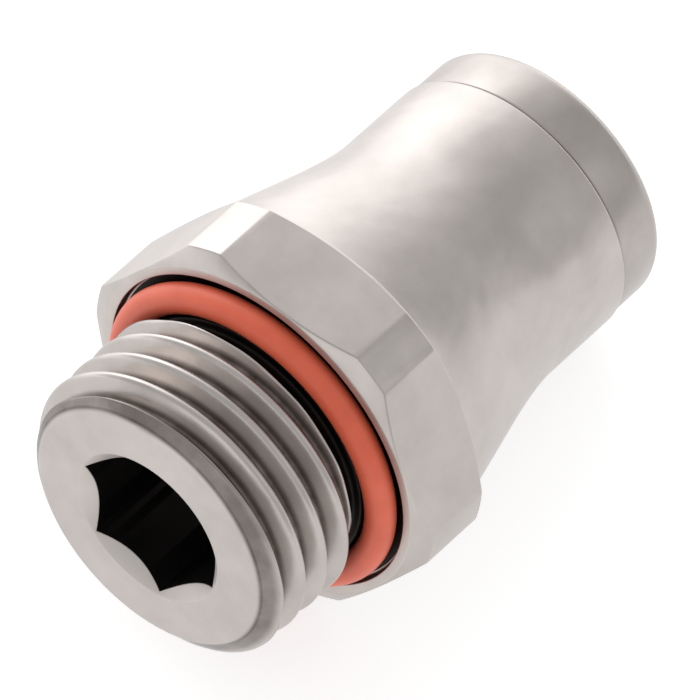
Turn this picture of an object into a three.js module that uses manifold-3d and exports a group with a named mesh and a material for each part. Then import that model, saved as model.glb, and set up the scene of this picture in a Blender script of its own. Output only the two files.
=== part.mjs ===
// Push-to-connect fitting: a male stud with a sealing flange, and a socket that grips a plastic tube.
// Millimetres. The fitting's axis is X: the stud's thread points to -X and the tube goes in from +X.
// +Z is up, and the fitting lies on a flat of its hexagon. Stations are measured along the axis from
// the thread's end face; the origin is on the axis, halfway along the fitting.

import * as THREE from 'three';
import { mergeVertices } from 'three/addons/utils/BufferGeometryUtils.js';
import Module from 'manifold-3d';

const wasm = await Module();
wasm.setup();

// Driving dimensions of the fitting.
const BODY_LENGTH = 25.2;        // thread end face to collar end face
const BUTTON_PROUD = 0.5;        // the button stands out of the collar by this much
const MIDDLE = (BODY_LENGTH + BUTTON_PROUD) / 2;

// Stud thread G 1/4, 55 degree form.
const PITCH = 1.337;
const MAJOR_R = 13.157 / 2;
const ROOT_R = 11.445 / 2;
const CREST_FLAT = 0.17 * PITCH;
const ROOT_FLAT = 0.17 * PITCH;
const THREAD_END = 5.7;
const RUN_OUT = 0.45;            // length of the chamfer behind the last crest
const LEAD_IN_R = 5.65;
const LEAD_IN_LENGTH = 0.7;
const THREAD_START_ANGLE = 205;  // degrees from +Y to +Z, where the ridge leaves the end face
const NECK_R = 5.5;

// Hexagon with a sealing face, and the groove of the face seal.
const ACROSS_FLATS = 16;
const LAND_R = 8.76;             // turned corners of the hexagon
const SEAL_FACE = 6.8;
const SEAL_FACE_R = 7.95;
const LAND_FRONT = 7.25;
const LAND_REAR = 10.35;
const HEX_REAR = 10.8;
const GROOVE_R = 7.62;
const GROOVE_FLOOR = 7.6;
const SEAT_START = 6.2;          // the face seal sits round a seat that starts here
const SEAT_R = 6.2;
const FACE_SEAL_R = 6.82;
const FACE_SEAL_SECTION = 1.15;
const FACE_SEAL_STATION = 6.27;

// Shoulder and barrel.
const SHOULDER_R = 7.92;
const SHOULDER_END = 15.2;
const SHOULDER_END_R = 6.78;
const BLEND_CORNER = 17.6;
const BARREL_START = 18.9;
const BARREL_R = 6.16;
const BARREL_END = 22.66;
const EDGE_BREAK = 0.12;

// Passage through the fitting.
const KEY_ACROSS_FLATS = 6.1;
const KEY_TURN = 12;             // degrees from +Y to a corner of the key socket
const KEY_DEPTH = 6.3;
const COUNTERSINK_R = 3.62;
const FLOW_R = 3;
const TUBE_R = 4;
const TUBE_BORE_R = TUBE_R + 0.08;
const TUBE_STOP = 9.2;
const CHAMBER_R = 5.45;
const CHAMBER_START = 12.2;
const FIT_GAP = 0.06;
const INNER_R = CHAMBER_R - FIT_GAP;

// Seal and grip cartridge.
const TUBE_SEAL_SECTION = 1.5;
const TUBE_SEAL_R = INNER_R - TUBE_SEAL_SECTION / 2;
const TUBE_SEAL_STATION = 13.05;
const WASHER_START = 13.9;
const WASHER_END = 14.7;
const WASHER_BORE_R = 4.12;
const SPACER_START = 14.8;
const SPACER_END = 16.25;
const SPACER_BORE_R = 4.2;
const SPACER_LAND = 0.35;        // straight part of the spacer's bore
const SPACER_CLEAR_R = 5;        // the bore opens to this behind the teeth
const GRIP_START = 16.32;
const GRIP_END = 16.6;
const GRIP_R = 5.35;
const GRIP_RIM_R = 4.75;
const TOOTH_TIP_R = 3.9;
const TOOTH_LEAN = 0.75;         // the tips stand this far towards the tube stop
const TOOTH_COUNT = 12;
const SLOT_WIDTH = 0.5;
const SLOT_ROOT_R = 4.85;
const SLEEVE_START = 16.7;
const SLEEVE_END = 20.2;
const SLEEVE_BORE_R = 5.1;

// Collar and release button.
const SPIGOT_START = 20.3;
const COLLAR_START = 22.71;
const COLLAR_R = 6.05;
const COLLAR_BORE_R = 4.78;
const COLLAR_CHAMFER = 0.32;
const RIM_FILLET = 0.6;
const BUTTON_R = 4.7;
const BUTTON_LIP_R = 5;
const BUTTON_LIP_START = 19.5;
const BUTTON_LIP_END = 20.2;
const BUTTON_NOSE = 16.55;
const BUTTON_NOSE_R = 4.27;
const BUTTON_TAPER_END = 17.35;
const BUTTON_ROUND = 0.22;
const BUTTON_FLARE = 0.3;        // the button's mouth opens by this much
const BUTTON_FLARE_LENGTH = 0.5;

// How finely round shapes are faceted, and how shapes are combined.
const TURNS = 48;
const TURNS_PER_PITCH = 24;
const SEAL_SIDES = 10;
const BLEND_STEPS = 6;
const FILLET_STEPS = 4;
const OVERSHOOT = 1;             // cutters run past the faces that they open
const OVERLAP = 0.3;             // joined shapes run this far into each other
const MERGE_DISTANCE = 1e-4;

const nickel = new THREE.MeshStandardMaterial({ color: 0xb9b2ac, roughness: 0.34, metalness: 1 });
const nickelCollar = new THREE.MeshStandardMaterial({ color: 0xb4ada6, roughness: 0.32, metalness: 1 });
const sealRubber = new THREE.MeshStandardMaterial({ color: 0xd65f48, roughness: 0.5, metalness: 0 });
const blackRubber = new THREE.MeshStandardMaterial({ color: 0x1c1c1d, roughness: 0.6, metalness: 0 });
const whitePlastic = new THREE.MeshStandardMaterial({ color: 0xe3e0d8, roughness: 0.45, metalness: 0 });
const brass = new THREE.MeshStandardMaterial({ color: 0xc2a35c, roughness: 0.35, metalness: 1 });
const stainless = new THREE.MeshStandardMaterial({ color: 0xa6a8aa, roughness: 0.25, metalness: 1 });

function degrees(angle) {
  return THREE.MathUtils.degToRad(angle);
}

// Turns a profile of [station, radius] points into a ring or disc about the X axis. The profile runs
// towards +X on its outside. It is closed here, unless both its ends are on the axis.
function turned(profile, segments = TURNS) {
  const points = profile.map(([station, radius]) => new THREE.Vector2(radius, station - MIDDLE));
  const onAxis = profile[0][1] === 0 && profile[profile.length - 1][1] === 0;
  if (!onAxis) {
    points.push(points[0].clone());
  }
  const geometry = new THREE.LatheGeometry(points, segments);
  geometry.rotateZ(-Math.PI / 2);
  return geometry;
}

// A prism with a regular hexagon section about the X axis, with one corner turned from +Y to +Z.
function hexPrism(acrossFlats, cornerAngle, start, end) {
  const cornerR = acrossFlats / 2 / Math.cos(Math.PI / 6);
  const corners = [];
  for (let corner = 0; corner < 6; corner += 1) {
    const angle = degrees(cornerAngle + 60 * corner);
    corners.push(new THREE.Vector2(cornerR * Math.cos(angle), cornerR * Math.sin(angle)));
  }
  const shape = new THREE.Shape(corners);
  const geometry = new THREE.ExtrudeGeometry(shape, { depth: end - start, bevelEnabled: false });
  return alongAxis(geometry, start);
}

// Carries a shape drawn in XY and extruded along +Z onto the fitting's axis: X to +Y, Y to +Z, Z to +X.
function alongAxis(geometry, start) {
  const axes = new THREE.Matrix4().makeBasis(
    new THREE.Vector3(0, 1, 0),
    new THREE.Vector3(0, 0, 1),
    new THREE.Vector3(1, 0, 0),
  );
  geometry.applyMatrix4(axes);
  geometry.translate(start - MIDDLE, 0, 0);
  return geometry;
}

function solid(geometry) {
  const bare = geometry.clone();
  for (const name of Object.keys(bare.attributes)) {
    if (name !== 'position') {
      bare.deleteAttribute(name);
    }
  }
  const merged = mergeVertices(bare, MERGE_DISTANCE);
  const index = merged.index.array;
  const triangles = [];
  for (let i = 0; i < index.length; i += 3) {
    const [a, b, c] = index.slice(i, i + 3);
    if (a !== b && b !== c && c !== a) {
      triangles.push(a, b, c);
    }
  }
  return new wasm.Manifold(new wasm.Mesh({
    numProp: 3,
    vertProperties: new Float32Array(merged.attributes.position.array),
    triVerts: new Uint32Array(triangles),
  }));
}

function named(name, shape, material) {
  const mesh = shape.getMesh();
  const geometry = new THREE.BufferGeometry();
  geometry.setAttribute('position', new THREE.BufferAttribute(new Float32Array(mesh.vertProperties), 3));
  geometry.setIndex(new THREE.BufferAttribute(new Uint32Array(mesh.triVerts), 1));
  geometry.computeVertexNormals();
  const node = new THREE.Mesh(geometry, material);
  node.name = name;
  return node;
}

// The thread's ridge: its section follows a helix from before the end face to the run-out.
function threadRidge() {
  const base = (PITCH - ROOT_FLAT) / 2;
  const crest = CREST_FLAT / 2;
  const sunkR = ROOT_R - OVERLAP;
  const section = [[-base, sunkR], [-base, ROOT_R], [-crest, MAJOR_R], [crest, MAJOR_R],
    [base, ROOT_R], [base, sunkR]];
  const travel = THREAD_END + PITCH;
  const steps = Math.round(TURNS_PER_PITCH * travel / PITCH);
  const positions = [];
  const triangles = [];
  for (let step = 0; step <= steps; step += 1) {
    const turn = step / TURNS_PER_PITCH;
    const angle = degrees(THREAD_START_ANGLE) + 2 * Math.PI * turn;
    for (const [offset, radius] of section) {
      const station = turn * PITCH - PITCH / 2 + offset;
      positions.push(station - MIDDLE, radius * Math.cos(angle), radius * Math.sin(angle));
    }
  }
  const count = section.length;
  for (let step = 0; step < steps; step += 1) {
    for (let i = 0; i < count; i += 1) {
      const next = (i + 1) % count;
      const a = step * count + i;
      const b = step * count + next;
      triangles.push(a, a + count, b, b, a + count, b + count);
    }
  }
  const last = steps * count;
  for (let i = 1; i < count - 1; i += 1) {
    triangles.push(0, i, i + 1);
    triangles.push(last, last + i + 1, last + i);
  }
  const geometry = new THREE.BufferGeometry();
  geometry.setAttribute('position', new THREE.Float32BufferAttribute(positions, 3));
  geometry.setIndex(triangles);
  return geometry;
}

function stud() {
  const envelope = turned([[0, 0], [0, LEAD_IN_R], [LEAD_IN_LENGTH, MAJOR_R],
    [THREAD_END - RUN_OUT, MAJOR_R], [THREAD_END, NECK_R], [THREAD_END, 0]]);
  const seatEnd = GROOVE_FLOOR + OVERLAP;
  const core = turned([[0, 0], [0, LEAD_IN_R], [ROOT_R - LEAD_IN_R, ROOT_R],
    [THREAD_END - RUN_OUT / 2, ROOT_R], [THREAD_END, NECK_R], [SEAT_START, NECK_R],
    [SEAT_START, SEAT_R], [seatEnd, SEAT_R], [seatEnd, 0]]);
  const ridge = solid(threadRidge()).intersect(solid(envelope));
  return solid(core).add(ridge);
}

function hexagon() {
  const disc = turned([[SEAL_FACE, 0], [SEAL_FACE, SEAL_FACE_R], [LAND_FRONT, LAND_R],
    [LAND_REAR, LAND_R], [HEX_REAR, SHOULDER_R], [HEX_REAR, 0]]);
  const prism = hexPrism(ACROSS_FLATS, 0, SEAL_FACE - OVERSHOOT, HEX_REAR + OVERSHOOT);
  const groove = turned([[SEAL_FACE - OVERSHOOT, 0], [SEAL_FACE - OVERSHOOT, GROOVE_R],
    [GROOVE_FLOOR, GROOVE_R], [GROOVE_FLOOR, 0]]);
  return solid(disc).intersect(solid(prism)).subtract(solid(groove));
}

function barrel() {
  const blend = new THREE.QuadraticBezierCurve(
    new THREE.Vector2(SHOULDER_END, SHOULDER_END_R),
    new THREE.Vector2(BLEND_CORNER, BARREL_R),
    new THREE.Vector2(BARREL_START, BARREL_R),
  );
  const waist = blend.getPoints(BLEND_STEPS).map((point) => [point.x, point.y]);
  return solid(turned([[HEX_REAR - OVERSHOOT, 0], [HEX_REAR - OVERSHOOT, SHOULDER_R - OVERLAP],
    [HEX_REAR, SHOULDER_R], ...waist, [BARREL_END - EDGE_BREAK, BARREL_R],
    [BARREL_END, BARREL_R - EDGE_BREAK], [BARREL_END, 0]]));
}

function passage() {
  const countersink = turned([[-OVERSHOOT, 0], [-OVERSHOOT, COUNTERSINK_R + OVERSHOOT],
    [COUNTERSINK_R - FLOW_R, FLOW_R], [COUNTERSINK_R - FLOW_R, 0]]);
  const key = hexPrism(KEY_ACROSS_FLATS, KEY_TURN, -OVERSHOOT, KEY_DEPTH);
  const bores = turned([[KEY_DEPTH - OVERSHOOT, 0], [KEY_DEPTH - OVERSHOOT, FLOW_R],
    [TUBE_STOP, FLOW_R], [TUBE_STOP, TUBE_BORE_R], [CHAMBER_START, TUBE_BORE_R],
    [CHAMBER_START, CHAMBER_R], [BARREL_END + OVERSHOOT, CHAMBER_R], [BARREL_END + OVERSHOOT, 0]]);
  return solid(countersink).add(solid(key)).add(solid(bores));
}

function body() {
  return stud().add(hexagon()).add(barrel()).subtract(passage());
}

function oRing(station, radius, section) {
  const ring = new THREE.TorusGeometry(radius, section / 2, SEAL_SIDES, TURNS);
  ring.rotateY(Math.PI / 2);
  ring.translate(station - MIDDLE, 0, 0);
  return solid(ring);
}

function plainRing(start, end, innerR, outerR) {
  return solid(turned([[start, innerR], [start, outerR], [end, outerR], [end, innerR]]));
}

// Carries the gripping ring's rim, and is cut back so that the teeth can lean into it.
function gripSpacer() {
  return solid(turned([[SPACER_START, SPACER_BORE_R], [SPACER_START, INNER_R], [SPACER_END, INNER_R],
    [SPACER_END, SPACER_CLEAR_R], [SPACER_START + SPACER_LAND, SPACER_BORE_R]]));
}

// A dished ring of spring steel with slots between its teeth.
function grippingRing() {
  const sheet = GRIP_END - GRIP_START;
  const tip = GRIP_START - TOOTH_LEAN;
  let ring = solid(turned([[tip, TOOTH_TIP_R], [GRIP_START, GRIP_RIM_R], [GRIP_START, GRIP_R],
    [GRIP_END, GRIP_R], [GRIP_END, GRIP_RIM_R], [tip + sheet, TOOTH_TIP_R]]));
  const slotStartR = TOOTH_TIP_R - OVERSHOOT;
  const slotLength = 2 * (TOOTH_LEAN + OVERSHOOT);
  for (let slot = 0; slot < TOOTH_COUNT; slot += 1) {
    const cutter = new THREE.BoxGeometry(slotLength, SLOT_ROOT_R - slotStartR, SLOT_WIDTH);
    cutter.translate(GRIP_START - MIDDLE, (SLOT_ROOT_R + slotStartR) / 2, 0);
    cutter.rotateX(degrees(360 / TOOTH_COUNT * (slot + 0.5)));
    ring = ring.subtract(solid(cutter));
  }
  return ring;
}

// Points of a quarter round, from the outside of a ring to its end face.
function quarterRound(end, outerR, radius) {
  const points = [];
  for (let step = 0; step <= FILLET_STEPS; step += 1) {
    const angle = degrees(90 * step / FILLET_STEPS);
    points.push([end - radius * (1 - Math.sin(angle)), outerR - radius * (1 - Math.cos(angle))]);
  }
  return points;
}

function endCollar() {
  const rim = quarterRound(BODY_LENGTH, COLLAR_R, RIM_FILLET);
  return solid(turned([[SPIGOT_START, COLLAR_BORE_R], [SPIGOT_START, INNER_R], [COLLAR_START, INNER_R],
    [COLLAR_START, COLLAR_R - EDGE_BREAK], [COLLAR_START + EDGE_BREAK, COLLAR_R], ...rim,
    [BODY_LENGTH, COLLAR_BORE_R + COLLAR_CHAMFER], [BODY_LENGTH - COLLAR_CHAMFER, COLLAR_BORE_R]]));
}

function releaseButton() {
  const end = BODY_LENGTH + BUTTON_PROUD;
  const rim = quarterRound(end, BUTTON_R, BUTTON_ROUND);
  return solid(turned([[BUTTON_NOSE, TUBE_BORE_R], [BUTTON_NOSE, BUTTON_NOSE_R],
    [BUTTON_TAPER_END, BUTTON_R], [BUTTON_LIP_START, BUTTON_R], [BUTTON_LIP_START, BUTTON_LIP_R],
    [BUTTON_LIP_END, BUTTON_LIP_R], [BUTTON_LIP_END, BUTTON_R], ...rim,
    [end, TUBE_BORE_R + BUTTON_FLARE], [end - BUTTON_FLARE_LENGTH, TUBE_BORE_R]]));
}

const fitting = new THREE.Group();
fitting.add(
  named('body', body(), nickel),
  named('face_seal', oRing(FACE_SEAL_STATION, FACE_SEAL_R, FACE_SEAL_SECTION), sealRubber),
  named('tube_seal', oRing(TUBE_SEAL_STATION, TUBE_SEAL_R, TUBE_SEAL_SECTION), blackRubber),
  named('seal_washer', plainRing(WASHER_START, WASHER_END, WASHER_BORE_R, INNER_R), whitePlastic),
  named('grip_spacer', gripSpacer(), brass),
  named('gripping_ring', grippingRing(), stainless),
  named('cartridge_sleeve', plainRing(SLEEVE_START, SLEEVE_END, SLEEVE_BORE_R, INNER_R), brass),
  named('end_collar', endCollar(), nickelCollar),
  named('release_button', releaseButton(), nickelCollar),
);

export default fitting;
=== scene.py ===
"""Looks of the push-to-connect fitting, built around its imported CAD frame.

Shapes are drawn in millimetres, by station (distance along the axis from the thread's end face) and
radius, and written to the meshes in metres. The axis is X, and angles go from +Y towards +Z.
"""
import math

import bpy
import numpy as np
from mathutils import Matrix, Vector


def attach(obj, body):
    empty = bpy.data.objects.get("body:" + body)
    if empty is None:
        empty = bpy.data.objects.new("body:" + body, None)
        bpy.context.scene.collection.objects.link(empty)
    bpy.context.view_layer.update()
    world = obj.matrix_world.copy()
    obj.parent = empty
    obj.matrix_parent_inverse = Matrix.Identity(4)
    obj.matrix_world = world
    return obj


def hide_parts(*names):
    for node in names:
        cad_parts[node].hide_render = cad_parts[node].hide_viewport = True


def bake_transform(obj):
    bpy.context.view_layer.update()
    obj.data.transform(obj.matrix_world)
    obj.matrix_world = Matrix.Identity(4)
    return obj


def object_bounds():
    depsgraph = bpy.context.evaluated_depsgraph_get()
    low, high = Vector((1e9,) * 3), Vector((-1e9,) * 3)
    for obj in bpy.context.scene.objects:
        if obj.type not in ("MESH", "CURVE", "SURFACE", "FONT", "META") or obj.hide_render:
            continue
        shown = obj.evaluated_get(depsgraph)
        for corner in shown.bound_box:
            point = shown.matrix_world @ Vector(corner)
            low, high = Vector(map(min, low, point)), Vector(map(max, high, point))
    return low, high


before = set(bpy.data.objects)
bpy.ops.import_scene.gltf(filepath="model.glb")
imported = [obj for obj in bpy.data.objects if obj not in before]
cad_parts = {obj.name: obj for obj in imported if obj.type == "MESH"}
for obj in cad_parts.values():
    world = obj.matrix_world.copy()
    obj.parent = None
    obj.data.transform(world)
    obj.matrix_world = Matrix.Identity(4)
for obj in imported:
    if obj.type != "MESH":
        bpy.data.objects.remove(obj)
CAD_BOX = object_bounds()

MM = 0.001
SAME_POINT = 2e-8                # metres within which two points are one
CORNER_STEPS = 3
RING_COLUMNS = 144
FINE_RING_COLUMNS = 192
MIDDLE = (CAD_BOX[1][0] - CAD_BOX[0][0]) / 2 / MM

# Thread of the stud, G 1/4.
PITCH = 1.337
MAJOR_R = 13.157 / 2
ROOT_R = 11.445 / 2
FLANK = math.radians(27.5)
ROUND_R = 0.137329 * PITCH
THREAD_END = 5.7
RUN_OUT = 0.45
THREAD_START_ANGLE = 205.0
LEAD_IN_R = 5.65
LEAD_IN_LENGTH = 0.7
NECK_R = 5.5
ROWS_PER_PITCH = 24
BODY_COLUMNS = 240
LEAST_COLUMN = 0.12              # the fewest degrees between two columns

# Hexagon, sealing face, groove and face seal. The seal is thicker here than in the CAD, and lies deeper.
FLAT_R = 8.0
LAND_R = 8.76
CORNER_ROUND = 0.02
SEAL_FACE = 6.8
SEAL_FACE_R = 7.95
LAND_FRONT = 7.25
LAND_REAR = 10.35
HEX_REAR = 10.8
GROOVE_R = 7.55
GROOVE_FLOOR = 7.25
SEAT_START = 6.2
SEAT_R = 5.9
FACE_SEAL_R = 6.64
FACE_SEAL_SECTION_R = 0.655
FACE_SEAL_STATION = 6.52

# Shoulder and barrel.
SHOULDER_R = 7.92
SHOULDER_ROWS = (12.3, 13.8)     # extra rows, which keep the faces of the long cone short
SHOULDER_END = (15.2, 6.78)
BLEND_CORNER = (17.6, 6.16)
BARREL_START = (18.9, 6.16)
BARREL_R = 6.16
BARREL_ROW = 20.8
BARREL_END = 22.66

# Passage.
KEY_FLAT_R = 3.05
KEY_CORNER_R = KEY_FLAT_R / math.cos(math.pi / 6)
KEY_TURN = 12.0
KEY_DEPTH = 6.3
COUNTERSINK_R = 3.62
FLOW_R = 3.0
TUBE_BORE_R = 4.08
TUBE_STOP = 9.2
CHAMBER_R = 5.45
CHAMBER_START = 12.2

# Cartridge, collar and button.
INNER_R = 5.39
TUBE_SEAL_SECTION_R = 0.75
TUBE_SEAL_STATION = 13.05
WASHER = (13.9, 14.7)
WASHER_BORE_R = 4.12
SPACER = (14.8, 16.25)
SPACER_BORE_R = 4.2
SPACER_LAND = 0.35
SPACER_CLEAR_R = 5.0
GRIP = (16.32, 16.6)
GRIP_R = 5.35
GRIP_RIM_R = 4.75
TOOTH_TIP_R = 3.9
TOOTH_LEAN = 0.75
TOOTH_COUNT = 12
HALF_SLOT = 3.3                  # degrees
SLOT_R = GRIP_RIM_R - 0.1
SLOT_ROUND = 0.25
TIP_THINNING = 0.8               # the thickness of a tooth's tip, as a part of the strip's
SLEEVE = (16.7, 20.2)
SLEEVE_BORE_R = 5.1
SPIGOT_START = 20.3
COLLAR_START = 22.71
COLLAR_R = 6.05
COLLAR_BORE_R = 4.78
COLLAR_CHAMFER = 0.32
COLLAR_END = 25.2
RIM_FILLET = 0.6
BUTTON_R = 4.7
BUTTON_LIP_R = 5.0
BUTTON_LIP = (19.5, 20.2)
BUTTON_NOSE = 16.55
BUTTON_NOSE_R = 4.27
BUTTON_TAPER_END = 17.35
BUTTON_END = 25.7
BUTTON_ROUND = 0.22
BUTTON_FLARE = 0.3
BUTTON_FLARE_LENGTH = 0.5

# Camera: where it looks from, and what it takes in.
AZIMUTH = 300.1
ELEVATION = 52.99
ROLL = 12.2
AIM_RIGHT = 8.06
AIM_UP = 7.09
VIEW_WIDTH = 27.78
CAMERA_DISTANCE = 600.0
SENSOR = 36.0

# Studio: the middle of the bright backdrop and of the front panel, in the camera's right, up and near
# terms. The panel fades in between two cosines of the angle from its middle.
BACKDROP = (-0.29, 0.86, -0.415)
BACKDROP_STRENGTH = 1.75
BACKDROP_POWER = 4.3
ROOM_STRENGTH = 0.68
FRONT_PANEL = (-0.66, -0.59, 0.47)
PANEL_EDGE = (0.88, 0.99)
PANEL_GAIN = 2.1
KEY_LAMP = {"way": (-0.45, 0.85, 0.0), "distance": 0.35, "size": 0.16, "power": 0.12}
FILL_LAMP = {"way": (0.9, 0.1, 0.7), "distance": 0.4, "size": 0.25, "power": 0.05}

# Floor: metres, and the strength of its glow in front of the fitting and behind it.
FLOOR_SIZE = 3.0
FLOOR_GAP = 0.00005
REST_INSET = 0.1                # millimetres from the hexagon's rear corner to its line of rest
FLOOR_COLOR = (0.66, 0.66, 0.66, 1)
GLOW_START = 0.02
GLOW_END = 0.055
GLOW_FRONT = 0.61
GLOW_BACK = 1.5


# ---------------------------------------------------------------- meshes

def even_angles(count):
    return np.arange(count) * 360.0 / count


def body_angles():
    """Angles of the body's columns, closer together at the edges of the hexagon's turned corners."""
    land = math.degrees(math.acos(FLAT_R / LAND_R))
    edge = 30 - land
    near = np.array([-1.0, -0.6, -0.3, 0.0, 0.3, 0.6, 1.0])
    fine = [60 * k + side * edge + near for k in range(6) for side in (-1, 1)]
    angles = np.unique(np.round(np.concatenate([even_angles(BODY_COLUMNS)] + fine) % 360, 4))
    keep = np.append(True, np.diff(angles) > LEAST_COLUMN)
    return angles[keep]


def hexagon_r(angles, flat_r, corner):
    """Radius of a hexagon's outline at each angle, with a corner at that angle."""
    from_flat = np.radians((angles - corner) % 60 - 30)
    return flat_r / np.cos(from_flat)


def softly_least(a, b, width):
    """The lesser of a and b, rounded where they cross."""
    return 0.5 * (a + b - np.sqrt((a - b) ** 2 + width ** 2))


def rounded(path, cuts):
    """Rows of a profile: each corner is replaced by a curve that starts its cut before the corner."""
    rows = []
    for i, (point, cut) in enumerate(zip(path, cuts)):
        if not cut:
            rows.append(point)
            continue
        before, after = path[i - 1], path[(i + 1) % len(path)]
        ends = []
        for other in (before, after):
            way = other - point
            length = np.maximum(np.linalg.norm(way, axis=0), 1e-9)
            ends.append(point + way * np.minimum(cut / length, 0.45))
        for k in range(CORNER_STEPS + 1):
            t = k / CORNER_STEPS
            rows.append((1 - t) ** 2 * ends[0] + 2 * t * (1 - t) * point + t ** 2 * ends[1])
    return rows


def at(station, radius, count):
    """A profile point: its station and radius at each column."""
    return np.array([np.broadcast_to(station, count), np.broadcast_to(radius, count)], float)


def grid_mesh(name, angles, rows, faces):
    """A mesh of rows of (station, radius) points at the column angles."""
    turn = np.radians(angles)
    grid = np.array(rows)
    x = (grid[:, 0] - MIDDLE) * MM
    y = grid[:, 1] * np.cos(turn) * MM
    z = grid[:, 1] * np.sin(turn) * MM
    points = np.stack([x, y, z], axis=-1).reshape(-1, 3)
    return finished_mesh(name, points, faces)


def finished_mesh(name, points, faces):
    """Merges doubled points, drops collapsed faces, and makes a smooth object of what is left."""
    keys = np.round(points / SAME_POINT).astype(np.int64)
    _, first, index = np.unique(keys, axis=0, return_index=True, return_inverse=True)
    index = index.reshape(-1)
    kept = []
    seen = set()
    for face in faces:
        loop = []
        for corner in face:
            vertex = int(index[corner])
            if not loop or loop[-1] != vertex:
                loop.append(vertex)
        if loop[0] == loop[-1]:
            loop.pop()
        if len(loop) < 3 or len(set(loop)) < len(loop):
            continue
        key = tuple(sorted(loop))
        if key not in seen:
            seen.add(key)
            kept.append(loop)
    mesh = bpy.data.meshes.new(name)
    mesh.from_pydata(points[first].tolist(), [], kept)
    mesh.update()
    mesh.shade_smooth()
    piece = bpy.data.objects.new(name, mesh)
    bpy.context.scene.collection.objects.link(piece)
    normals = piece.modifiers.new("weighted_normals", "WEIGHTED_NORMAL")
    normals.weight = 100
    return piece


def quads(columns, count, start=0, closed=False):
    """Faces between successive rows, all the way round. closed joins the last row to the first."""
    faces = []
    for row in range(count if closed else count - 1):
        low = start + row * columns
        high = start + (row + 1) % count * columns
        for j in range(columns):
            k = (j + 1) % columns
            faces.append((low + j, low + k, high + k, high + j))
    return faces


def ring(name, path, cuts, count=RING_COLUMNS):
    """A turned ring from a closed profile of (station, radius) points and the cuts of their corners."""
    points = [at(station, radius, count) for station, radius in path]
    rows = rounded(points, cuts)
    return grid_mesh(name, even_angles(count), rows, quads(count, len(rows), closed=True))


def arc(centre, radius, start, end, steps):
    """Points on a round corner, by angle from the outward radius towards +X."""
    turns = np.radians(np.linspace(start, end, steps + 1))
    return [(centre[0] + radius * math.sin(t), centre[1] + radius * math.cos(t)) for t in turns]


def round_section(station, radius, section_r, sides):
    """The profile of an O-ring."""
    return arc((station, radius), section_r, -180, 180 - 360 / sides, sides - 1)


def square_section(stations, bore_r, outer_r):
    """The profile of a plain ring between two stations."""
    start, end = stations
    return [(start, bore_r), (start, outer_r), (end, outer_r), (end, bore_r)]


# ---------------------------------------------------------------- body

def thread_r(station, angles):
    """Radius of the rounded 55 degree thread form, cut by the lead-in and run-out chamfers."""
    turn = (angles - THREAD_START_ANGLE) / 360
    from_crest = np.abs((station + PITCH / 2 - turn * PITCH + PITCH / 2) % PITCH - PITCH / 2)
    from_root = PITCH / 2 - from_crest
    tangent = ROUND_R * math.cos(FLANK)
    crest = MAJOR_R - ROUND_R + np.sqrt(ROUND_R ** 2 - np.minimum(from_crest, tangent) ** 2)
    root = ROOT_R + ROUND_R - np.sqrt(ROUND_R ** 2 - np.minimum(from_root, tangent) ** 2)
    crest_foot = MAJOR_R - ROUND_R * (1 - math.sin(FLANK))
    flank = crest_foot - (from_crest - tangent) / math.tan(FLANK)
    form = np.where(from_crest < tangent, crest, np.where(from_root < tangent, root, flank))
    run_out = THREAD_END - RUN_OUT

    # Stations and radii: the end face's rounded edge, the lead-in cone, the crests and the run-out.
    outline = [(0, LEAD_IN_R - 0.1), (0.04, LEAD_IN_R), (0.13, LEAD_IN_R + 0.14),
               (LEAD_IN_LENGTH, MAJOR_R - 0.05), (LEAD_IN_LENGTH + 0.1, MAJOR_R),
               (run_out - 0.08, MAJOR_R), (run_out, MAJOR_R - 0.06), (THREAD_END, NECK_R)]
    return np.minimum(form, np.interp(station, *zip(*outline)))


def thread_rows(angles):
    """Rows that follow the helix, so that a row joins a later one after a full turn."""
    turns = math.ceil(THREAD_END / PITCH) + 2
    ahead = 1.5
    bases = (np.arange(turns * ROWS_PER_PITCH) / ROWS_PER_PITCH - ahead) * PITCH
    rows = []
    for base in bases:
        station = np.clip(base + PITCH * angles / 360, 0, THREAD_END)
        rows.append(np.array([station, thread_r(station, angles)]))
    return rows


def thread_faces(columns, count):
    """Faces between the thread's rows. Past the last column, a row goes on as the one a pitch later."""
    faces = []
    for row in range(count - 1):
        for j in range(columns):
            turned = j + 1 == columns
            k = 0 if turned else j + 1
            far = row + ROWS_PER_PITCH if turned else row
            if far + 1 < count:
                faces.append((row * columns + j, far * columns + k,
                              (far + 1) * columns + k, (row + 1) * columns + j))
    return faces


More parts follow.
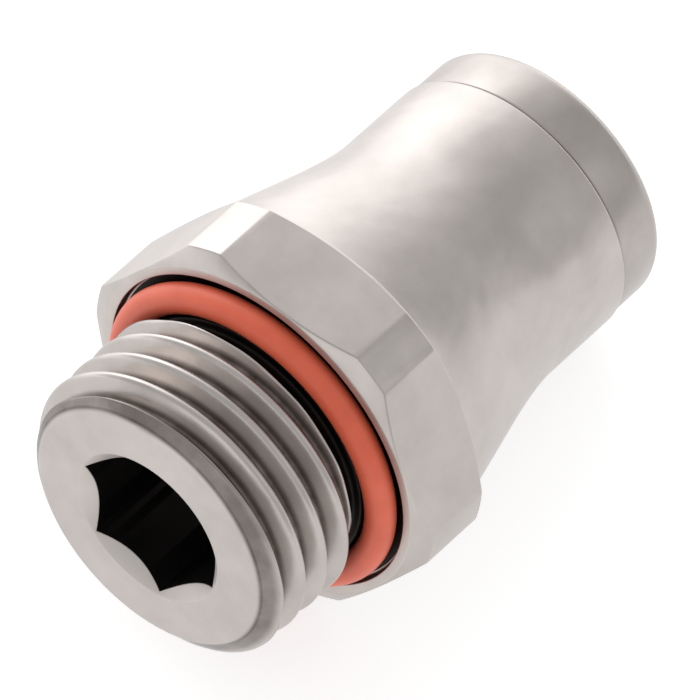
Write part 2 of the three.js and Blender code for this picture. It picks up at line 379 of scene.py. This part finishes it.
def body_profile(angles):
    """The body's profile from the neck behind the thread, round the outside and back to the end face.

    Each point of the path is a station, a radius and how far from the corner its rounding starts.
    """
    n = len(angles)
    land = np.full(n, LAND_R)
    hexagon = softly_least(hexagon_r(angles, FLAT_R, 0), land, CORNER_ROUND)
    chamfer = (hexagon - SEAL_FACE_R) / (LAND_R - SEAL_FACE_R)
    front = SEAL_FACE + chamfer * (LAND_FRONT - SEAL_FACE)
    rear = HEX_REAR - (hexagon - SHOULDER_R) / (LAND_R - SHOULDER_R) * (HEX_REAR - LAND_REAR)
    key = hexagon_r(angles, KEY_FLAT_R, KEY_TURN)
    blend = []
    for t in np.linspace(0, 1, 15):
        blend.append([(1 - t) ** 2 * a + 2 * t * (1 - t) * b + t ** 2 * c
                      for a, b, c in zip(SHOULDER_END, BLEND_CORNER, BARREL_START)])
    path = [
        (THREAD_END, NECK_R, 0), (SEAT_START, NECK_R, 0.15), (SEAT_START, SEAT_R, 0.12),
        (GROOVE_FLOOR, SEAT_R, 0.12), (GROOVE_FLOOR, GROOVE_R, 0.12),
        (SEAL_FACE, GROOVE_R, 0.05), (SEAL_FACE, SEAL_FACE_R, 0.06), (front, hexagon, 0.06),
        (rear, hexagon, 0.06), (HEX_REAR, SHOULDER_R, 0.14),
    ]
    fall = (SHOULDER_END[1] - SHOULDER_R) / (SHOULDER_END[0] - HEX_REAR)
    path += [(s, SHOULDER_R + (s - HEX_REAR) * fall, 0) for s in SHOULDER_ROWS]
    path += [(s, r, 0) for s, r in blend]
    path += [
        (BARREL_ROW, BARREL_R, 0), (BARREL_END, BARREL_R, 0.13), (BARREL_END, CHAMBER_R, 0.1),
        (CHAMBER_START, CHAMBER_R, 0.1), (CHAMBER_START, TUBE_BORE_R, 0.12),
        (TUBE_STOP, TUBE_BORE_R, 0.05), (TUBE_STOP, FLOW_R, 0.06), (KEY_DEPTH, FLOW_R, 0.04),
        (KEY_DEPTH, key, 0), (COUNTERSINK_R - key, key, 0.04), (0, COUNTERSINK_R, 0.05),
        (0, LEAD_IN_R - 0.5, 0), (0, thread_r(np.zeros(n), angles), 0),
    ]
    points = [at(s, r, n) for s, r, _ in path]
    return rounded(points, [cut for _, _, cut in path])


def make_body():
    angles = body_angles()
    columns = len(angles)
    thread = thread_rows(angles)
    rest = body_profile(angles)
    faces = thread_faces(columns, len(thread))
    faces += quads(columns, len(rest), start=len(thread) * columns)
    return grid_mesh("body_skin", angles, thread + rest, faces)


# ---------------------------------------------------------------- rings

def make_face_seal():
    section = round_section(FACE_SEAL_STATION, FACE_SEAL_R, FACE_SEAL_SECTION_R, 30)
    return ring("face_seal_ring", section, [0] * len(section), count=FINE_RING_COLUMNS)


def make_tube_seal():
    centre_r = INNER_R - TUBE_SEAL_SECTION_R
    section = round_section(TUBE_SEAL_STATION, centre_r, TUBE_SEAL_SECTION_R, 24)
    return ring("tube_seal_ring", section, [0] * len(section))


def make_washer():
    return ring("seal_washer_ring", square_section(WASHER, WASHER_BORE_R, INNER_R), [0.08] * 4)


def make_spacer():
    path = [(SPACER[0], SPACER_BORE_R), (SPACER[0], INNER_R), (SPACER[1], INNER_R),
            (SPACER[1], SPACER_CLEAR_R), (SPACER[0] + SPACER_LAND, SPACER_BORE_R)]
    return ring("grip_spacer_ring", path, [0.06] * 5)


def make_sleeve():
    return ring("cartridge_sleeve_ring", square_section(SLEEVE, SLEEVE_BORE_R, INNER_R), [0.07] * 4)


def make_collar():
    rim = arc((COLLAR_END - RIM_FILLET, COLLAR_R - RIM_FILLET), RIM_FILLET, 0, 90, 12)
    path = [(SPIGOT_START, COLLAR_BORE_R), (SPIGOT_START, INNER_R), (COLLAR_START, INNER_R),
            (COLLAR_START, COLLAR_R)] + rim
    path += [(COLLAR_END, COLLAR_BORE_R + COLLAR_CHAMFER), (COLLAR_END - COLLAR_CHAMFER, COLLAR_BORE_R)]
    cuts = [0.07, 0.12, 0.05, 0.12] + [0] * len(rim) + [0.05, 0.06]
    return ring("end_collar_shell", path, cuts, count=FINE_RING_COLUMNS)


def make_button():
    end = arc((BUTTON_END - BUTTON_ROUND, BUTTON_R - BUTTON_ROUND), BUTTON_ROUND, 0, 90, 6)
    path = [(BUTTON_NOSE, TUBE_BORE_R), (BUTTON_NOSE, BUTTON_NOSE_R), (BUTTON_TAPER_END, BUTTON_R),
            (BUTTON_LIP[0], BUTTON_R), (BUTTON_LIP[0], BUTTON_LIP_R), (BUTTON_LIP[1], BUTTON_LIP_R),
            (BUTTON_LIP[1], BUTTON_R)] + end
    path += [(BUTTON_END, TUBE_BORE_R + BUTTON_FLARE), (BUTTON_END - BUTTON_FLARE_LENGTH, TUBE_BORE_R)]
    cuts = [0.05, 0.05, 0.15, 0.05, 0.08, 0.08, 0.05] + [0] * len(end) + [0.06, 0.2]
    return ring("release_button_sleeve", path, cuts, count=FINE_RING_COLUMNS)


def make_gripping_ring():
    """A dished ring whose inner edge steps out to the rim at each slot between its teeth."""
    spacing = 360 / TOOTH_COUNT
    in_slot = np.array([0.2, 0, -0.5]) + HALF_SLOT
    offsets = np.concatenate([-in_slot, np.arange(-2, 3), in_slot[::-1], np.arange(6, 25, 3)])
    angles = np.concatenate([offsets + spacing * (k + 0.5) for k in range(TOOTH_COUNT)])
    from_slot = np.abs((angles + 1e-6) % spacing - spacing / 2)
    bulge = 1 - np.sqrt(np.maximum(1 - (from_slot / HALF_SLOT) ** 2, 0))
    inner = np.where(from_slot < HALF_SLOT + 0.1, SLOT_R - SLOT_ROUND * bulge, TOOTH_TIP_R)
    along = (GRIP_RIM_R - inner) / (GRIP_RIM_R - TOOTH_TIP_R)
    sheet = GRIP[1] - GRIP[0]
    n = len(angles)
    lean = GRIP[0] - TOOTH_LEAN * along
    path = [at(lean, inner, n), at(GRIP[0], GRIP_RIM_R, n), at(GRIP[0], GRIP_R, n),
            at(GRIP[1], GRIP_R, n), at(GRIP[1], GRIP_RIM_R, n), at(lean + sheet * TIP_THINNING, inner, n)]
    rows = rounded(path, [0.03, 0.25, 0.05, 0.05, 0.25, 0.05])
    order = np.argsort(angles % 360)
    rows = [row[:, order] for row in rows]
    faces = quads(n, len(rows), closed=True)
    return grid_mesh("gripping_ring_teeth", (angles % 360)[order], rows, faces)


# ---------------------------------------------------------------- materials

# Painted shade in the thread's roots: its colour, the radius where it is full and the one where it has
# faded out, the lesser darkening on the lead-in cone, and how patchy it is.
THREAD_SHADE = (0.07, 0.053, 0.044)
SHADE_FULL_R = ROOT_R + 0.03
SHADE_CLEAR_R = ROOT_R + 0.34
LEAD_IN_DARKENING = 0.72
SHADE_PATCHES = (0.62, 1.15)


class Nodes:
    """The node tree of a material or world, with short calls for the nodes used here."""

    def __init__(self, owner):
        owner.use_nodes = True
        self.owner = owner
        self.tree = owner.node_tree
        self.shader = self.tree.nodes.get("Principled BSDF") or self.tree.nodes["Background"]

    def node(self, kind, **settings):
        made = self.tree.nodes.new(kind)
        for key, value in settings.items():
            setattr(made, key, value)
        return made

    def put(self, value, socket):
        if isinstance(value, bpy.types.NodeSocket):
            self.tree.links.new(value, socket)
        else:
            socket.default_value = value

    def math(self, operation, a, b=0.0):
        made = self.node("ShaderNodeMath", operation=operation)
        self.put(a, made.inputs[0])
        self.put(b, made.inputs[1])
        return made.outputs[0]

    def position(self):
        return self.node("ShaderNodeTexCoord").outputs["Object"]

    def along(self, vector, way):
        """How far a vector reaches along a direction."""
        made = self.node("ShaderNodeVectorMath", operation="DOT_PRODUCT")
        self.put(vector, made.inputs[0])
        self.put(tuple(way), made.inputs[1])
        return made.outputs["Value"]

    def between(self, value, start, end, low, high):
        """low up to start and high from end on, with a smooth change between them."""
        made = self.node("ShaderNodeMapRange", interpolation_type="SMOOTHSTEP")
        for item, socket in zip((value, start, end, low, high), made.inputs):
            self.put(item, socket)
        return made.outputs[0]

    def parts(self, vector):
        made = self.node("ShaderNodeSeparateXYZ")
        self.put(vector, made.inputs[0])
        return made.outputs

    def vector(self, x, y, z):
        made = self.node("ShaderNodeCombineXYZ")
        for value, socket in zip((x, y, z), made.inputs):
            self.put(value, socket)
        return made.outputs[0]

    def noise(self, vector, scale, detail=2.0, roughness=0.5, distortion=0.0):
        made = self.node("ShaderNodeTexNoise")
        self.put(vector, made.inputs["Vector"])
        self.put(scale, made.inputs["Scale"])
        self.put(detail, made.inputs["Detail"])
        self.put(roughness, made.inputs["Roughness"])
        self.put(distortion, made.inputs["Distortion"])
        return made.outputs["Fac"]

    def ramp(self, value, stops):
        made = self.node("ShaderNodeValToRGB")
        self.put(value, made.inputs[0])
        elements = made.color_ramp.elements
        while len(elements) < len(stops):
            elements.new(0.5)
        for element, (place, color) in zip(elements, stops):
            element.position = place
            element.color = color if len(color) == 4 else (*color, 1.0)
        return made.outputs[0]

    def mix(self, factor, a, b):
        """A colour mix. Its sockets are the last of the sets that the node has for each type of data."""
        made = self.node("ShaderNodeMix", data_type="RGBA")
        self.put(factor, made.inputs[0])
        self.put(a, made.inputs[6])
        self.put(b, made.inputs[7])
        return made.outputs[2]

    def spread(self, value, low, high):
        """value, which runs from 0 to 1, brought to the range from low to high."""
        made = self.node("ShaderNodeMapRange")
        self.put(value, made.inputs[0])
        made.inputs[3].default_value = low
        made.inputs[4].default_value = high
        return made.outputs[0]

    def bump(self, height, distance, strength=1.0, below=None):
        made = self.node("ShaderNodeBump")
        made.inputs["Strength"].default_value = strength
        made.inputs["Distance"].default_value = distance
        self.put(height, made.inputs["Height"])
        if below is not None:
            self.put(below, made.inputs["Normal"])
        return made.outputs["Normal"]


def thread_painted_shade(n, place, x, radius):
    """How much darker the metal is painted: full painted shade in the thread's roots, a lesser darkening on
    its lead-in cone, patchy, and none elsewhere.
    """
    def past(station, width, before, after):
        start = (station - MIDDLE) * MM
        return n.between(x, start, start + width * MM, before, after)

    root = n.between(radius, SHADE_FULL_R * MM, SHADE_CLEAR_R * MM, 1.0, 0.0)
    lead_in = past(LEAD_IN_LENGTH - 0.3, 0.3, LEAD_IN_DARKENING, 0.0)
    outside = n.math("GREATER_THAN", radius, (ROOT_R - 0.2) * MM)
    behind_face = past(0.03, 0.12, 0.0, 1.0)
    before_neck = past(THREAD_END, 0.1, 1.0, 0.0)
    patchy = n.spread(n.noise(place, scale=900.0, detail=3.0, roughness=0.6), *SHADE_PATCHES)
    on_thread = n.math("MULTIPLY", outside, n.math("MULTIPLY", behind_face, before_neck))
    shade_amount = n.math("MULTIPLY", n.math("MAXIMUM", root, lead_in), patchy)
    return n.math("MINIMUM", n.math("MULTIPLY", shade_amount, on_thread), 1.0)


def uneven(n, stain, lines, low, high):
    """A roughness that varies with the stain and the lines."""
    both = n.math("ADD", n.math("MULTIPLY", stain, 0.5), n.math("MULTIPLY", lines, 0.5))
    n.put(n.spread(both, low, high), n.shader.inputs["Roughness"])


def metal(n, color, normal):
    """Puts a colour and a normal on a metal's shader, and returns its material."""
    n.put(color, n.shader.inputs["Base Color"])
    n.put(normal, n.shader.inputs["Normal"])
    n.shader.inputs["Metallic"].default_value = 1.0
    return n.owner


def turned_metal(name, light, dark, rough, marks=1.0, threaded=False):
    """Plated or bare metal with fine turning marks round the axis and a slightly uneven surface.

    A threaded piece is painted darker in the roots of its thread, as painted shade, and less so on its
    lead-in cone.
    """
    n = Nodes(bpy.data.materials.new(name))
    place = n.position()
    x, y, z = n.parts(place)
    radius = n.math("SQRT", n.math("ADD", n.math("MULTIPLY", y, y), n.math("MULTIPLY", z, z)))
    drift = n.math("MULTIPLY", n.noise(place, scale=90.0), 0.00025)
    rings = n.vector(n.math("ADD", x, drift), n.math("ADD", radius, drift), 0.0)
    lines = n.noise(rings, scale=9000.0, detail=3.0, roughness=0.7)
    coarse = n.noise(rings, scale=1800.0)
    swell = n.noise(place, scale=260.0, roughness=0.45, distortion=0.4)
    grain = n.noise(place, scale=14000.0, roughness=0.6)
    stain = n.noise(place, scale=420.0, detail=4.0, roughness=0.6)
    color = n.ramp(stain, [(0.32, dark), (0.68, light)])
    if threaded:
        # Painted shade in the thread's roots, and a lesser darkening on its lead-in cone.
        color = n.mix(thread_painted_shade(n, place, x, radius), color, (*THREAD_SHADE, 1.0))
    uneven(n, stain, lines, rough - 0.07, rough + 0.09)
    normal = n.bump(swell, distance=0.00016, strength=0.6)
    normal = n.bump(coarse, distance=0.000004 * marks, strength=0.6, below=normal)
    normal = n.bump(lines, distance=0.0000022 * marks, strength=0.6, below=normal)
    normal = n.bump(grain, distance=0.000002, strength=0.5, below=normal)
    return metal(n, color, normal)


def drawn_metal(name, light, dark, rough):
    """Plated flats of drawn bar, with faint lines along the bar."""
    n = Nodes(bpy.data.materials.new(name))
    place = n.position()
    x, y, z = n.parts(place)
    drawn_out = n.vector(n.math("MULTIPLY", x, 0.05), y, z)
    lines = n.noise(drawn_out, scale=7000.0, detail=3.0, roughness=0.6)
    swell = n.noise(place, scale=200.0, roughness=0.45)
    grain = n.noise(place, scale=12000.0, roughness=0.6)
    stain = n.noise(place, scale=380.0, detail=4.0, roughness=0.6)
    uneven(n, stain, lines, rough - 0.06, rough + 0.1)
    normal = n.bump(swell, distance=0.00012, strength=0.5)
    normal = n.bump(lines, distance=0.000003, strength=0.6, below=normal)
    normal = n.bump(grain, distance=0.0000025, strength=0.5, below=normal)
    return metal(n, n.ramp(stain, [(0.32, dark), (0.68, light)]), normal)


def moulded(name, light, dark, rough, specular=0.5):
    """Rubber or plastic with a soft sheen, fine grain and slight mottling."""
    n = Nodes(bpy.data.materials.new(name))
    place = n.position()
    mottle = n.noise(place, scale=500.0, detail=3.0, roughness=0.55)
    grain = n.noise(place, scale=9000.0, roughness=0.6)
    n.put(n.ramp(mottle, [(0.3, dark), (0.7, light)]), n.shader.inputs["Base Color"])
    n.put(n.spread(mottle, rough - 0.06, rough + 0.08), n.shader.inputs["Roughness"])
    normal = n.bump(mottle, distance=0.00003, strength=0.4)
    normal = n.bump(grain, distance=0.000006, strength=0.5, below=normal)
    n.put(normal, n.shader.inputs["Normal"])
    n.shader.inputs["Specular IOR Level"].default_value = specular
    return n.owner


NICKEL_LIGHT = (0.52, 0.479, 0.456)
NICKEL_DARK = (0.45, 0.414, 0.393)

# The body's plating, with painted shade in its thread's roots.
nickel = turned_metal("nickel_plate", NICKEL_LIGHT, NICKEL_DARK, rough=0.3, threaded=True)
nickel_flats = drawn_metal("nickel_plate_flats", NICKEL_LIGHT, NICKEL_DARK, rough=0.34)
# Plating painted lighter for the countersink and the seal face, a painted light that lifts their shading;
# it is also rougher.
nickel_painted_lighter = turned_metal("nickel_plate_painted_lighter", light=(0.62, 0.575, 0.55), dark=(0.56, 0.52, 0.49),
                          rough=0.5, marks=0.4)
# Near-black painted shade for the passage and for the groove's neck and floor, which lie in deep shade.
painted_shade_metal = turned_metal("painted_shade_metal", light=(0.03, 0.027, 0.025), dark=(0.02, 0.018, 0.017),
                             rough=0.5)
nickel_collar = turned_metal("nickel_plate_collar", light=(0.445, 0.41, 0.388),
                             dark=(0.386, 0.355, 0.336), rough=0.3)
nickel_button = turned_metal("nickel_plate_button", light=(0.525, 0.484, 0.46),
                             dark=(0.465, 0.428, 0.407), rough=0.25)
orange_rubber = moulded("orange_rubber", light=(0.77, 0.14, 0.073), dark=(0.68, 0.108, 0.052),
                        rough=0.42, specular=0.45)
black_rubber = moulded("black_rubber", light=(0.03, 0.03, 0.031), dark=(0.018, 0.018, 0.019), rough=0.35)
acetal = moulded("acetal", light=(0.80, 0.77, 0.70), dark=(0.74, 0.70, 0.62), rough=0.42)
bare_brass = turned_metal("bare_brass", light=(0.72, 0.52, 0.22), dark=(0.62, 0.43, 0.17), rough=0.3)
stainless = turned_metal("stainless_strip", light=(0.58, 0.58, 0.585), dark=(0.5, 0.5, 0.505),
                         rough=0.24, marks=0.4)


# ---------------------------------------------------------------- pieces

# Millimetres by which a face's centre may be off the surface that it belongs to.
NEAR = 0.02
ON_FLAT = 0.03
MARGIN = 0.1
LEVEL = 0.05                     # the most that a flat's normal may lean along the axis


def dress(piece, material, node, body):
    piece.data.materials.append(material)
    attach(piece, body)
    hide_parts(node)
    return piece


def finish_of(face):
    """The finish of one of the body's faces, by where the face lies: near-black painted shade in the
    passage and the groove, plating painted lighter on the countersink and the seal face, drawn flats on the
    hexagon, and turned plating elsewhere.
    """
    centre = face.center / MM
    station = centre.x + MIDDLE
    radius = math.hypot(centre.y, centre.z)
    in_passage = COUNTERSINK_R - radius + NEAR < station < TUBE_STOP and radius < KEY_CORNER_R
    in_groove = THREAD_END < station < GROOVE_FLOOR + NEAR and NECK_R - MARGIN < radius < GROOVE_R - MARGIN
    # The passage and the groove's neck and floor get near-black painted shade.
    if in_passage or in_groove:
        return painted_shade_metal
    # The countersink and the seal face get plating painted lighter, as painted light.
    in_countersink = radius < COUNTERSINK_R and station < COUNTERSINK_R - KEY_FLAT_R + MARGIN
    on_seal_face = abs(station - SEAL_FACE) < NEAR and GROOVE_R < radius < SEAL_FACE_R
    if in_countersink or on_seal_face:
        return nickel_painted_lighter
    if SEAL_FACE < station < HEX_REAR and abs(face.normal.x) < LEVEL:
        angle = math.degrees(math.atan2(centre.z, centre.y))
        flat = hexagon_r(np.array([angle]), FLAT_R, 0)[0]
        if abs(radius - flat) < ON_FLAT and radius < LAND_R - ON_FLAT:
            return nickel_flats
    return nickel


def paint_body(body):
    """Gives each face of the body its own finish or painted shade. The turned one is there already."""
    finishes = [nickel, nickel_flats, painted_shade_metal, nickel_painted_lighter]
    for finish in finishes[1:]:
        body.data.materials.append(finish)
    for face in body.data.polygons:
        face.material_index = finishes.index(finish_of(face))


body_piece = dress(make_body(), nickel, "body", "stud")
paint_body(body_piece)
dress(make_face_seal(), orange_rubber, "face_seal", "stud")
dress(make_tube_seal(), black_rubber, "tube_seal", "stud")
dress(make_washer(), acetal, "seal_washer", "stud")
dress(make_spacer(), bare_brass, "grip_spacer", "stud")
dress(make_sleeve(), bare_brass, "cartridge_sleeve", "stud")
dress(make_collar(), nickel_collar, "end_collar", "stud")
dress(make_button(), nickel_button, "release_button", "button")

grip = make_gripping_ring()
grip.data.materials.append(stainless)
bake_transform(grip)
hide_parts("gripping_ring")


# ---------------------------------------------------------------- floor, lights and camera

def camera_axes():
    """The camera's right, up and forward directions."""
    azimuth, elevation, roll = (math.radians(a) for a in (AZIMUTH, ELEVATION, ROLL))
    forward = Vector((-math.sin(azimuth) * math.cos(elevation), math.cos(azimuth) * math.cos(elevation),
                      -math.sin(elevation)))
    level = Vector((math.cos(azimuth), math.sin(azimuth), 0))
    upright = level.cross(forward)
    right = level * math.cos(roll) + upright * math.sin(roll)
    return right, right.cross(forward), forward


def aim_at(thing, place, target):
    thing.location = place
    thing.rotation_euler = (target - place).to_track_quat("-Z", "Y").to_euler()


def make_camera():
    right, up, forward = camera_axes()
    target = Vector((-MIDDLE, 0, 0)) + right * AIM_RIGHT + up * AIM_UP
    camera = bpy.data.objects.new("camera", bpy.data.cameras.new("camera"))
    bpy.context.scene.collection.objects.link(camera)
    turn = Matrix((right, up, -forward)).transposed().to_4x4()
    camera.matrix_world = Matrix.Translation((target - forward * CAMERA_DISTANCE) * MM) @ turn
    camera.data.sensor_width = SENSOR
    camera.data.lens = SENSOR * CAMERA_DISTANCE / VIEW_WIDTH
    camera.data.clip_start = 0.01
    camera.data.clip_end = 10
    bpy.context.scene.camera = camera


def make_floor():
    """A pale, softly glowing table, brighter behind the fitting.

    The fitting rests on its hexagon's rear edge and the collar's rim, so the table leans to meet both.
    """
    rear = Vector((HEX_REAR - REST_INSET - MIDDLE, 0, -FLAT_R))
    rim = Vector((COLLAR_END - RIM_FILLET - MIDDLE, 0, -COLLAR_R))
    slope = math.atan2(rim.z - rear.z, rim.x - rear.x)
    bpy.ops.mesh.primitive_plane_add(size=FLOOR_SIZE)
    floor = bpy.context.object
    floor.name = "floor"
    floor.rotation_euler = (0, -slope, 0)
    normal = Vector((-math.sin(slope), 0, math.cos(slope)))
    floor.location = rear * MM - normal * FLOOR_GAP
    n = Nodes(bpy.data.materials.new("light_table"))
    n.shader.inputs["Base Color"].default_value = FLOOR_COLOR
    n.shader.inputs["Roughness"].default_value = 0.9
    n.shader.inputs["Specular IOR Level"].default_value = 0.0
    n.shader.inputs["Emission Color"].default_value = (1, 1, 1, 1)
    back = seen_direction(*BACKDROP)
    behind = n.along(n.position(), Vector((back.x, back.y, 0)).normalized())
    glow = n.between(behind, GLOW_START, GLOW_END, GLOW_FRONT, GLOW_BACK)
    n.put(glow, n.shader.inputs["Emission Strength"])
    floor.data.materials.append(n.owner)


def seen_direction(right_part, up_part, near_part):
    """A direction given in the camera's right, up and towards-camera terms."""
    right, up, forward = camera_axes()
    return (right * right_part + up * up_part - forward * near_part).normalized()


def area_light(name, way, distance, size, power):
    data = bpy.data.lights.new(name, "AREA")
    data.shape = "SQUARE"
    data.size = size
    data.energy = power
    lamp = bpy.data.objects.new(name, data)
    bpy.context.scene.collection.objects.link(lamp)
    aim_at(lamp, seen_direction(*way) * distance, Vector((0, 0, 0)))


def make_light():
    """A pale studio: bright behind the fitting, with a panel in front of its thread and two soft lamps."""
    world = bpy.data.worlds.new("studio")
    n = Nodes(world)
    facing = n.node("ShaderNodeTexCoord").outputs["Generated"]
    towards = n.math("MAXIMUM", n.along(facing, seen_direction(*BACKDROP)), 0.0)
    bright = n.math("MULTIPLY_ADD", n.math("POWER", towards, BACKDROP_POWER), BACKDROP_STRENGTH)
    n.put(ROOM_STRENGTH, bright.node.inputs[2])
    front = n.between(n.along(facing, seen_direction(*FRONT_PANEL)), *PANEL_EDGE, 1.0, PANEL_GAIN)
    n.put(n.math("MULTIPLY", bright, front), n.shader.inputs["Strength"])
    n.shader.inputs["Color"].default_value = (1, 1, 1, 1)
    bpy.context.scene.world = world
    area_light("key", **KEY_LAMP)
    area_light("fill", **FILL_LAMP)
    bpy.context.scene.view_settings.view_transform = "Standard"


make_camera()
make_floor()
make_light()
